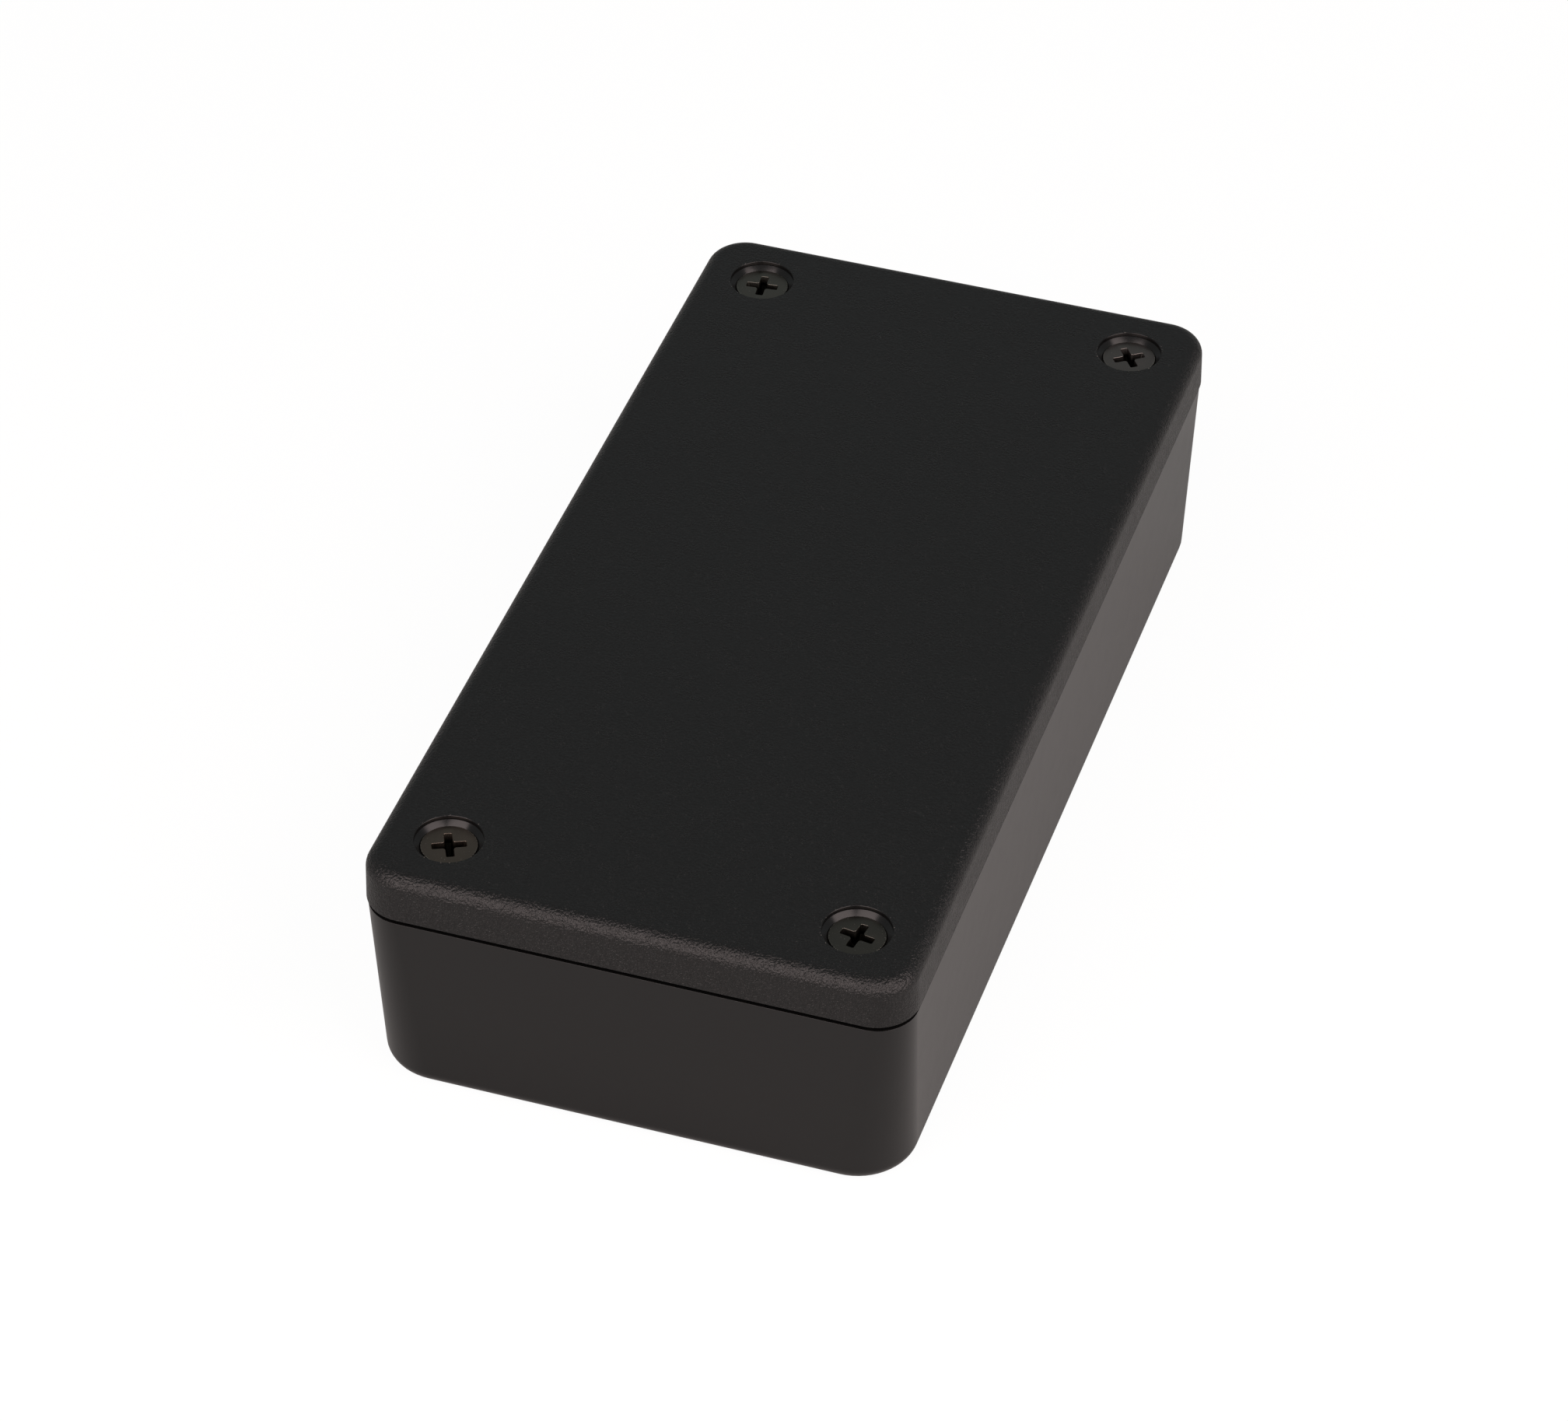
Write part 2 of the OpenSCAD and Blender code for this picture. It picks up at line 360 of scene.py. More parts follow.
def thread_tree(segments: int, steps: int) -> PieceTree:
    """Tree that draws a tapping screw's shank: a core with one V thread wound round it, and a point.

    A grid is rolled up so that its rows follow the helix. Rows past either end are held at
    that end's height, where the thread has faded out, so merging them leaves a clean ring.

    Args:
        segments: Steps round the shank.
        steps: Rows in each turn of the thread. The crest takes the middle one.

    Returns:
        The tree. The shank is open at the top, on a ring of the core's radius.
    """
    made = PieceTree(
        "threaded_shank",
        {
            "Core radius": "NodeSocketFloat",
            "Crest radius": "NodeSocketFloat",
            "Pitch": "NodeSocketFloat",
            "Top": "NodeSocketFloat",
            "Tip": "NodeSocketFloat",
            "Point length": "NodeSocketFloat",
            "Tip radius": "NodeSocketFloat",
            "Turns": "NodeSocketInt",
        },
    )
    ins = made.inputs
    rows = made.math("ADD", made.math("MULTIPLY", ins["Turns"], float(steps)), 1.0)
    grid = made.add(
        "GeometryNodeMeshGrid",
        {"Size X": 1.0, "Size Y": 1.0, "Vertices X": segments + 1, "Vertices Y": rows},
    )
    spot = made.add("ShaderNodeSeparateXYZ", {0: made.add("GeometryNodeInputPosition").outputs[0]})
    around = made.math("ADD", spot.outputs["X"], 0.5)
    turn = made.math("MULTIPLY", made.math("ADD", spot.outputs["Y"], 0.5), ins["Turns"])
    fall = made.math("MULTIPLY", made.math("ADD", made.math("SUBTRACT", turn, 1.0), around), ins["Pitch"])
    free = made.math("SUBTRACT", ins["Top"], fall)
    height = made.math("MINIMUM", made.math("MAXIMUM", free, ins["Tip"]), ins["Top"])
    # Ridge of the thread: nothing over most of the pitch, then a 60 degree V up to the crest
    phase = made.math("FRACT", made.math("ADD", turn, 0.001))
    away = made.math("ABSOLUTE", made.math("SUBTRACT", phase, 0.501))
    ridge = made.math("MAXIMUM", made.math("SUBTRACT", 1.0, made.math("DIVIDE", away, 0.2)), 0.0)
    depth = made.math("SUBTRACT", ins["Crest radius"], ins["Core radius"])
    below = made.math("DIVIDE", made.math("SUBTRACT", ins["Top"], height), ins["Pitch"])
    fade_in = made.math("MINIMUM", made.math("MAXIMUM", made.math("SUBTRACT", below, 0.4), 0.0), 1.0)
    above = made.math("DIVIDE", made.math("SUBTRACT", height, ins["Tip"]), ins["Point length"])
    taper = made.math("MINIMUM", above, 1.0)
    core = made.math(
        "ADD",
        ins["Tip radius"],
        made.math("MULTIPLY", made.math("SUBTRACT", ins["Core radius"], ins["Tip radius"]), taper),
    )
    thread = made.math("MULTIPLY", made.math("MULTIPLY", ridge, depth), made.math("MULTIPLY", fade_in, taper))
    radius = made.math("ADD", core, thread)
    angle = made.math("MULTIPLY", around, -2 * pi)
    at = made.add(
        "ShaderNodeCombineXYZ",
        {
            "X": made.math("MULTIPLY", radius, made.math("COSINE", angle)),
            "Y": made.math("MULTIPLY", radius, made.math("SINE", angle)),
            "Z": height,
        },
    )
    rolled = made.add("GeometryNodeSetPosition", {"Geometry": grid.outputs["Mesh"], "Position": at.outputs[0]})
    merged = made.add("GeometryNodeMergeByDistance", {"Geometry": rolled.outputs[0], "Distance": 1e-6})
    made.finish(merged.outputs[0])
    return made


# ---------------------------------------------------------------- finishes


def linear(code: str) -> tuple[float, float, float, float]:
    """Linear colour of an sRGB hex value such as "#2a2a2b"."""
    levels = (int(code[i : i + 2], 16) / 255 for i in (1, 3, 5))
    return (*(c / 12.92 if c <= 0.04045 else ((c + 0.055) / 1.055) ** 2.4 for c in levels), 1.0)


def per_mm(size: float) -> float:
    """Scale of a pattern whose features are this many millimetres across."""
    return 1.0 / (size * MM)


class Finish(Protocol):
    """Anything that can make a material."""

    name: str

    def material(self) -> bpy.types.Material:
        """Builds the material."""
        ...


def blank_material(name: str) -> tuple[bpy.types.Material, bpy.types.NodeTree]:
    """A new material and its empty node tree."""
    made = bpy.data.materials.new(name)
    made.use_nodes = True
    made.node_tree.nodes.clear()
    return made, made.node_tree


def from_axis(tree: bpy.types.NodeTree, place: bpy.types.NodeSocket, x: float, y: float) -> bpy.types.NodeSocket:
    """Distance in mm from the nearest of four upright axes, mirrored in X and Y.

    Args:
        tree: The material's tree.
        place: Object coordinates.
        x: Place of one axis, in mm.
        y: Place of one axis, in mm.

    Returns:
        The distance.
    """
    folded = add_node(tree, "ShaderNodeVectorMath", {0: place}, operation="ABSOLUTE")
    flat = add_node(
        tree, "ShaderNodeVectorMath", {0: folded.outputs[0], 1: (1 / MM, 1 / MM, 0.0)}, operation="MULTIPLY"
    )
    away = add_node(tree, "ShaderNodeVectorMath", {0: flat.outputs[0], 1: (x, y, 0.0)}, operation="DISTANCE")
    return away.outputs["Value"]


def ramp(
    tree: bpy.types.NodeTree,
    value: bpy.types.NodeSocket,
    span: tuple[float, float],
    onto: tuple[float, float] = (0.0, 1.0),
) -> bpy.types.NodeSocket:
    """Maps one range onto another and holds the ends.

    Args:
        tree: The material's tree.
        value: What is mapped.
        span: Its range.
        onto: What the ends of the range turn into.

    Returns:
        The mapped value.
    """
    node = add_node(
        tree,
        "ShaderNodeMapRange",
        {"Value": value, "From Min": span[0], "From Max": span[1], "To Min": onto[0], "To Max": onto[1]},
    )
    return node.outputs[0]


def tint(
    tree: bpy.types.NodeTree, share: bpy.types.NodeSocket, below: object, above: object
) -> bpy.types.NodeSocket:
    """Mixes two colours.

    Args:
        tree: The material's tree.
        share: How much of the second colour shows.
        below: The first colour.
        above: The second colour.

    Returns:
        The mixed colour.
    """
    return add_node(tree, "ShaderNodeMix", {0: share, 6: below, 7: above}, data_type="RGBA").outputs[2]


def product(tree: bpy.types.NodeTree, first: object, second: object) -> bpy.types.NodeSocket:
    """Multiplies two values."""
    return add_node(tree, "ShaderNodeMath", {0: first, 1: second}, operation="MULTIPLY").outputs[0]


@dataclass(frozen=True)
class MouldedAbs:
    """Black ABS from a spark-eroded mould: nearly no body colour, a soft sheen and a fine grain.

    The grain breaks up the highlight along the edges into specks. Under it lies a slow
    waviness, which keeps large faces from looking ruled. pins holds the place and radius of
    the polished core pins, whose bores come out smooth and glossy; pale specks round their rim
    are partly burrs and partly painted glints.
    """

    name: str
    colour: str
    roughness: float = 0.2
    sheen_level: float = 0.5
    grain: float = 0.2
    grain_depth: float = 0.004
    wave: float = 2.2
    wave_depth: float = 0.02
    pins: tuple[float, float, float] | None = None
    polish: float = 0.85
    dust_spacing: float = 7.0
    dust_share: float = 0.12
    # Colour of the dust specks, and of the painted glints on the bore rims.
    dust: str = "#a9a29b"

    def material(self) -> bpy.types.Material:
        """Builds the material on Object coordinates.

        Returns:
            The material.
        """
        made, tree = blank_material(self.name)
        place = add_node(tree, "ShaderNodeTexCoord").outputs["Object"]
        grain = add_node(
            tree, "ShaderNodeTexNoise", {"Vector": place, "Scale": per_mm(self.grain), "Detail": 2.0}
        ).outputs[0]
        wave = add_node(
            tree, "ShaderNodeTexNoise", {"Vector": place, "Scale": per_mm(self.wave), "Detail": 3.0}
        ).outputs[0]
        specks = add_node(
            tree, "ShaderNodeTexVoronoi", {"Vector": place, "Scale": per_mm(self.dust_spacing)}
        )
        lot = add_node(tree, "ShaderNodeSeparateColor", {0: specks.outputs["Color"]}).outputs[0]
        near = ramp(tree, specks.outputs["Distance"], (0.07 / self.dust_spacing, 0.1 / self.dust_spacing), (1, 0))
        rare = ramp(tree, lot, (self.dust_share - 0.01, self.dust_share), (1, 0))
        colour = tint(tree, product(tree, near, rare), linear(self.colour), linear(self.dust))
        gloss = ramp(tree, wave, (0.3, 0.7), (self.roughness - 0.03, self.roughness + 0.03))
        grained: float | bpy.types.NodeSocket = 1.0
        if self.pins:
            x, y, radius = self.pins
            away = from_axis(tree, place, x, y)
            grained = ramp(tree, away, (radius, radius + 0.1))
            gloss = product(tree, gloss, ramp(tree, away, (radius, radius + 0.1), (self.polish, 1.0)))
            # Painted glints: pale specks round the bore's rim, partly burrs and partly where the rim catches the light.
            rim = product(tree, grained, ramp(tree, away, (radius + 0.1, radius + 0.2), (1, 0)))
            rim_burr_glints = product(tree, rim, ramp(tree, grain, (0.66, 0.76)))
            colour = tint(tree, rim_burr_glints, colour, linear(self.dust))
        swell = add_node(
            tree, "ShaderNodeBump", {"Height": wave, "Strength": 1.0, "Distance": self.wave_depth * MM}
        )
        pits = add_node(
            tree,
            "ShaderNodeBump",
            {
                "Height": grain,
                "Strength": grained,
                "Distance": self.grain_depth * MM,
                "Normal": swell.outputs[0],
            },
        )
        surface = add_node(
            tree,
            "ShaderNodeBsdfPrincipled",
            {
                "Base Color": colour,
                "Roughness": gloss,
                "IOR": 1.53,
                "Specular IOR Level": self.sheen_level,
                "Normal": pits.outputs[0],
            },
        )
        add_node(tree, "ShaderNodeOutputMaterial", {"Surface": surface.outputs[0]})
        return made


@dataclass(frozen=True)
class BlackenedSteel:
    """Blackened, lightly oiled steel: a dark warm metal with a satin sheen and bare specks.

    place and face_z hold where the screws stand and how high their heads end: the cross recess
    is painted darker with depth as painted shade, and the rim of the head gets bare specks that
    are partly rubbed-off black and partly painted glints.
    """

    name: str
    colour: str
    place: tuple[float, float]
    face_z: float
    rim: float
    # Colour of bare specks, and of the painted glints along the head's rim.
    bare: str = "#b9b4aa"
    # Colour of the painted shade down in the cross recess.
    deep: str = "#100f0c"
    roughness: float = 0.36
    grain: float = 0.12

    def material(self) -> bpy.types.Material:
        """Builds the material on Object coordinates.

        Returns:
            The material.
        """
        made, tree = blank_material(self.name)
        place = add_node(tree, "ShaderNodeTexCoord").outputs["Object"]
        grain = add_node(
            tree, "ShaderNodeTexNoise", {"Vector": place, "Scale": per_mm(self.grain), "Detail": 3.0}
        ).outputs[0]
        stain = add_node(
            tree, "ShaderNodeTexNoise", {"Vector": place, "Scale": per_mm(1.6), "Detail": 2.0}
        ).outputs[0]
        away = from_axis(tree, place, *self.place)
        height = add_node(tree, "ShaderNodeSeparateXYZ", {0: place}).outputs[2]
        depth = ramp(tree, height, (self.face_z * MM, (self.face_z - 1) * MM))
        # Painted shade: the cross recess darkens with depth, where little light reaches.
        recess = product(tree, ramp(tree, away, (1.6, 1.7), (1, 0)), ramp(tree, depth, (0.12, 0.7)))
        # Bare specks along the head's rim: partly rubbed-off black, partly painted glints where the rim catches the
        # light.
        rubbed_rim_glints = product(tree, ramp(tree, away, (self.rim - 0.1, self.rim)), ramp(tree, grain, (0.5, 0.6)))
        colour = tint(tree, ramp(tree, grain, (0.70, 0.74)), linear(self.colour), linear(self.bare))
        colour = tint(tree, rubbed_rim_glints, colour, linear(self.bare))
        colour = tint(tree, recess, colour, linear(self.deep))
        relief = add_node(
            tree, "ShaderNodeBump", {"Height": grain, "Strength": 1.0, "Distance": 0.003 * MM}
        )
        surface = add_node(
            tree,
            "ShaderNodeBsdfPrincipled",
            {
                "Base Color": colour,
                "Metallic": 1.0,
                "Roughness": ramp(tree, stain, (0.3, 0.7), (self.roughness - 0.06, self.roughness + 0.06)),
                "Normal": relief.outputs[0],
            },
        )
        add_node(tree, "ShaderNodeOutputMaterial", {"Surface": surface.outputs[0]})
        return made


@dataclass(frozen=True)
class StudioFloor:
    """Pale grey paper under soft light. The camera sees it lifted to white, with the shadow left in it."""

    name: str = "pale_paper"
    colour: str = "#b1b4b3"
    glow_colour: str = "#ffffff"
    glow: float = 1.1
    share: float = 0.86

    def material(self) -> bpy.types.Material:
        """Builds the material.

        Returns:
            The material.
        """
        made, tree = blank_material(self.name)
        paper = add_node(tree, "ShaderNodeBsdfDiffuse", {"Color": linear(self.colour)})
        white = add_node(tree, "ShaderNodeEmission", {"Color": linear(self.glow_colour), "Strength": self.glow})
        seen = add_node(tree, "ShaderNodeLightPath").outputs["Is Camera Ray"]
        share = add_node(tree, "ShaderNodeMath", {0: seen, 1: self.share}, operation="MULTIPLY")
        mixed = add_node(
            tree, "ShaderNodeMixShader", {0: share.outputs[0], 1: paper.outputs[0], 2: white.outputs[0]}
        )
        add_node(tree, "ShaderNodeOutputMaterial", {"Surface": mixed.outputs[0]})
        return made


def dress(piece: bpy.types.Object, finish: bpy.types.Material, body: str, node: str) -> None:
    """Gives a piece its finish and ties it to the frame.

    Args:
        piece: The finished piece.
        finish: Its material.
        body: The body that it moves with.
        node: The node that it stands for.
    """
    piece.data.materials.clear()
    piece.data.materials.append(finish)
    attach(piece, body)
    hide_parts(node)
    LOG.info("%s: %d faces on body %s", piece.name, len(piece.data.polygons), body)


# ---------------------------------------------------------------- the box


@dataclass(frozen=True)
class Plan:
    """A rounded rectangle seen from above, given by the centres of its corners."""

    half_x: float
    half_y: float
    steps: int = 14

    def ring(self, radius: float, z: float) -> list[Vector]:
        """Its outline at a height, with a corner radius."""
        ring = []
        for quarter, (sx, sy) in enumerate(((1, 1), (-1, 1), (-1, -1), (1, -1))):
            for x, y in arc((0.0, 0.0), radius, 90 * quarter, 90 * quarter + 90, self.steps):
                ring.append(Vector((sx * self.half_x + x, sy * self.half_y + y, z)))
        return ring

    def rings(self, section: Sequence[Point]) -> list[list[Vector]]:
        """One ring for each point of a section."""
        return [self.ring(radius, z) for radius, z in section]


@dataclass
class BoxSizes:
    """Sizes that both mouldings and the screws share, in millimetres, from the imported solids."""

    wall: float = 2.0
    floor: float = 2.0
    plate: float = 2.0
    tub_corner: float = 3.7
    foot_corner: float = 5.5
    lid_corner: float = 3.9
    tub_draft: float = 1.1
    lid_draft: float = 1.2
    seam_gap: float = 0.5
    lip: float = 1.1
    lip_gap: float = 0.1
    post_drop: float = 0.7
    post_radius: float = 3.3
    head_edge: float = 0.1
    half_width: float = field(init=False)
    half_length: float = field(init=False)
    height: float = field(init=False)
    skirt_z: float = field(init=False)
    lip_z: float = field(init=False)
    rim_x: float = field(init=False)
    rim_y: float = field(init=False)
    screw_x: float = field(init=False)
    screw_y: float = field(init=False)
    head_z: float = field(init=False)
    tip_z: float = field(init=False)
    head_radius: float = field(init=False)

    def __post_init__(self) -> None:
        """Reads what the frame gives."""
        lid_low, lid_high = (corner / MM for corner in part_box("lid"))
        tub_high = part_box("base")[1] / MM
        low, high = (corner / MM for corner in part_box(Corner.BACK_RIGHT.node))
        self.half_width, self.half_length, self.height = lid_high
        self.skirt_z = lid_low.z
        self.rim_x, self.rim_y, self.lip_z = tub_high
        self.screw_x = (low.x + high.x) / 2
        self.screw_y = (low.y + high.y) / 2
        self.head_radius = (high.x - low.x) / 2
        self.head_z, self.tip_z = high.z, low.z

    @property
    def shoulder_z(self) -> float:
        """Height of the tub's shoulder."""
        return self.skirt_z - self.seam_gap

    @property
    def seat_z(self) -> float:
        """Height of the edge where a head's cone begins."""
        return self.head_z - self.head_edge

    @property
    def post_z(self) -> float:
        """Height at which the lid's posts stand on the tub's."""
        return self.lip_z - self.post_drop

    @property
    def plate_z(self) -> float:
        """Height of the lid's inside."""
        return self.height - self.plate

    @property
    def hollow_radius(self) -> float:
        """Corner radius of the tub's hollow, up past the lip."""
        return self.tub_corner - self.wall

    @property
    def lip_radius(self) -> float:
        """Corner radius of the outside of the lip."""
        return self.hollow_radius + self.lip

    def drawn_in(self, z: float) -> float:
        """How far a leaning tub wall has drawn in at a height, from where it is at the shoulder."""
        return (self.shoulder_z - z) * tan(radians(self.tub_draft))

    def tub_plan(self, corner: float, inset: float = 0.0) -> Plan:
        """Plan of a tub outline.

        Args:
            corner: Its corner radius.
            inset: How far it lies inside the outline of the shoulder.

        Returns:
            The plan.
        """
        return Plan(self.rim_x - inset - corner, self.rim_y - inset - corner)

    @property
    def lid_plan(self) -> Plan:
        """Corner centres of the outside of the lid."""
        return Plan(self.half_width - self.lid_corner, self.half_length - self.lid_corner)

    def lid_radius(self, z: float) -> float:
        """Corner radius of the lid's outside at a height."""
        return self.lid_corner - (z - self.skirt_z) * tan(radians(self.lid_draft))


@dataclass
class Tub:
    """The tub: drafted walls, lip, screw posts, card guides and board posts in one moulding."""

    sizes: BoxSizes
    finish: MouldedAbs
    corners: PieceTree
    rows: PieceTree
    foot_edge: float = 1.5
    inside_edge: float = 1.0
    shoulder_edge: float = 0.015
    lip_edge: float = 0.25
    lip_lean: float = 1.0
    web: float = 1.6
    web_drop: float = 1.2
    pilot_radius: float = 1.15
    pilot_mouth: float = 0.4
    pilot_below_tip: float = 3.0
    guide_pitch: float = 10.0
    side_guides: int = 7
    end_guide_pitch: float = 16.0
    guide_slot: float = 2.0
    guide_rib: float = 1.0
    guide_depth: float = 1.4
    guide_top: float = 18.0
    guide_lead: float = 2.0
    board_pitch: tuple[float, float] = (30.0, 64.0)
    board_post: float = 2.4
    board_post_height: float = 4.0
    board_hole: float = 1.0
    ejector_radius: float = 2.0
    ejector_depth: float = 0.06
    ejector_pitch: float = 28.0

    def outside(self) -> list[list[Vector]]:
        """Rings from the middle of the underside up the wall, which sharpens its corners, and over the lip."""
        s = self.sizes
        foot = s.tub_plan(s.foot_corner, s.drawn_in(self.foot_edge))
        bend = arc((s.foot_corner - self.foot_edge, self.foot_edge), self.foot_edge, -90, 0, 10)
        edge = (s.tub_corner - self.shoulder_edge, s.shoulder_z - self.shoulder_edge)
        lip = s.lip_radius - (s.lip_z - s.shoulder_z) * tan(radians(self.lip_lean)) - self.lip_edge
        top = [
            *arc(edge, self.shoulder_edge, 0, 90, 5),
            (s.lip_radius, s.shoulder_z),
            *arc((lip, s.lip_z - self.lip_edge), self.lip_edge, 0, 90, 5),
        ]
        return foot.rings(bend) + s.tub_plan(s.tub_corner).rings(top)

    def hollow(self) -> list[list[Vector]]:
        """Rings from the top of the lip down the inside of the wall to the middle of the floor."""
        s = self.sizes
        bend_z = s.floor + self.inside_edge
        corner = s.foot_corner - s.wall
        mouth = s.tub_plan(s.hollow_radius, s.wall + s.drawn_in(s.lip_z))
        foot = s.tub_plan(corner, s.wall + s.drawn_in(bend_z))
        lead_in = arc((s.hollow_radius + self.lip_edge, s.lip_z - self.lip_edge), self.lip_edge, 90, 180, 5)
        bend = arc((corner - self.inside_edge, bend_z), self.inside_edge, 0, -90, 8)
        return mouth.rings(lead_in) + foot.rings(bend)

    def corner_post(self) -> bpy.types.Object:
        """Screw post of the +X +Y corner, with its two webs, standing on the origin."""
        s = self.sizes
        foot_z = s.floor / 2
        post = make_object("post", extrude(arc((0, 0), s.post_radius, 0, 352.5, 47), foot_z, s.post_z))
        reach = s.rim_x - s.wall / 2 - s.drawn_in(s.floor) - s.screw_x
        half = self.web / 2
        outline = [(-half, -half), (reach, -half), (reach, half), (half, half), (half, reach), (-half, reach)]
        webs = make_object("webs", extrude(outline, foot_z, s.shoulder_z - self.web_drop))
        combine(post, webs, Cut.ADD)
        return post

    def guide_rib_mesh(self, face: float) -> bmesh.types.BMesh:
        """One rib of a card guide on the wall at +X.

        Args:
            face: Distance from the middle to the inside of the wall, at the floor.

        Returns:
            The rib, with a sloping top that leads a board in.
        """
        s = self.sizes
        lean = (self.guide_top - s.floor) * tan(radians(s.tub_draft))
        nose = face + lean - self.guide_depth
        outline = [
            (nose, s.floor / 2),
            (face + s.wall / 2, s.floor / 2),
            (face + s.wall / 2 + lean, self.guide_top),
            (face + lean, self.guide_top),
            (nose, self.guide_top - self.guide_lead),
        ]
        rib = extrude(outline, -self.guide_rib / 2, self.guide_rib / 2)
        rib.transform(Matrix.Rotation(pi / 2, 4, "X"))
        return rib

    def card_guides(self, face: float, count: int, pitch: float, turn: float) -> bpy.types.Object:
        """The guides of one wall.

        Args:
            face: Distance from the middle to the inside of the wall, at the floor.
            count: Number of guides.
            pitch: Distance between them.
            turn: Angle of the wall about Z.

        Returns:
            The ribs as one object.
        """
        rib = make_object("guide_rib", self.guide_rib_mesh(face))
        gap = (self.guide_slot + self.guide_rib) * MM
        pair = self.rows.grow("guide_pair", {"Piece": rib, "Count": 2, "Pitch": gap})
        row = self.rows.grow(
            "guide_row", {"Piece": pair, "Count": count, "Pitch": pitch * MM, "Turn": turn}
        )
        for used in (rib, pair):
            bpy.data.objects.remove(used)
        return row

    def in_corners(self, piece: bpy.types.Object, pitch: tuple[float, float]) -> bpy.types.Object:
        """Stands copies of a piece in four corners and uses the piece up."""
        copies = self.corners.grow(
            piece.name, {"Piece": piece, "Pitch X": pitch[0] * MM, "Pitch Y": pitch[1] * MM}
        )
        bpy.data.objects.remove(piece)
        return copies

    def build(self) -> bpy.types.Object:
        """Builds and dresses the tub.

        Returns:
            The tub.
        """
        s = self.sizes
        tub = make_object("tub", loft(self.outside() + self.hollow()))
        inset = s.wall + s.drawn_in(s.floor)
        faces = (s.rim_x - inset, s.rim_y - inset)
        for turn in (0.0, pi):
            combine(tub, self.card_guides(faces[0], self.side_guides, self.guide_pitch, turn), Cut.ADD)
            combine(tub, self.card_guides(faces[1], 2, self.end_guide_pitch, turn + pi / 2), Cut.ADD)
        screw_pitch = (2 * s.screw_x, 2 * s.screw_y)
        combine(tub, self.in_corners(self.corner_post(), screw_pitch), Cut.ADD)
        board_z = s.floor + self.board_post_height
        post = revolve(
            [
                (0, s.floor / 2),
                (self.board_post + 0.2, s.floor / 2),
                *arc((self.board_post - 0.2, board_z - 0.2), 0.2, 0, 90, 3),
                (0, board_z),
            ],
            40,
        )
        combine(tub, self.in_corners(make_object("board_post", post), self.board_pitch), Cut.ADD)
        pilot = revolve(
            [
                (0, s.tip_z - self.pilot_below_tip),
                (self.pilot_radius, s.tip_z - self.pilot_below_tip + self.pilot_radius / 2),
                (self.pilot_radius, s.post_z - self.pilot_mouth),
                (self.pilot_radius + self.pilot_mouth, s.post_z),
                (self.pilot_radius + self.pilot_mouth, s.post_z + 1),
                (0, s.post_z + 1),
            ],
            40,
        )
        combine(tub, self.in_corners(make_object("pilot", pilot), screw_pitch), Cut.REMOVE)
        hole = revolve([(0, s.floor), (self.board_hole, s.floor), (self.board_hole, board_z + 1), (0, board_z + 1)], 32)
        combine(tub, self.in_corners(make_object("board_hole", hole), self.board_pitch), Cut.REMOVE)
        pin = extrude(arc((0, 0), self.ejector_radius, 0, 352.5, 47), s.floor - self.ejector_depth, s.floor + 1)
        mark = make_object("ejector_mark", pin)
        marks = self.rows.grow("ejector_marks", {"Piece": mark, "Count": 3, "Pitch": self.ejector_pitch * MM})
        bpy.data.objects.remove(mark)
        combine(tub, marks, Cut.REMOVE)
        smooth(tub)
        dress(tub, self.finish.material(), "base", "base")
        return tub


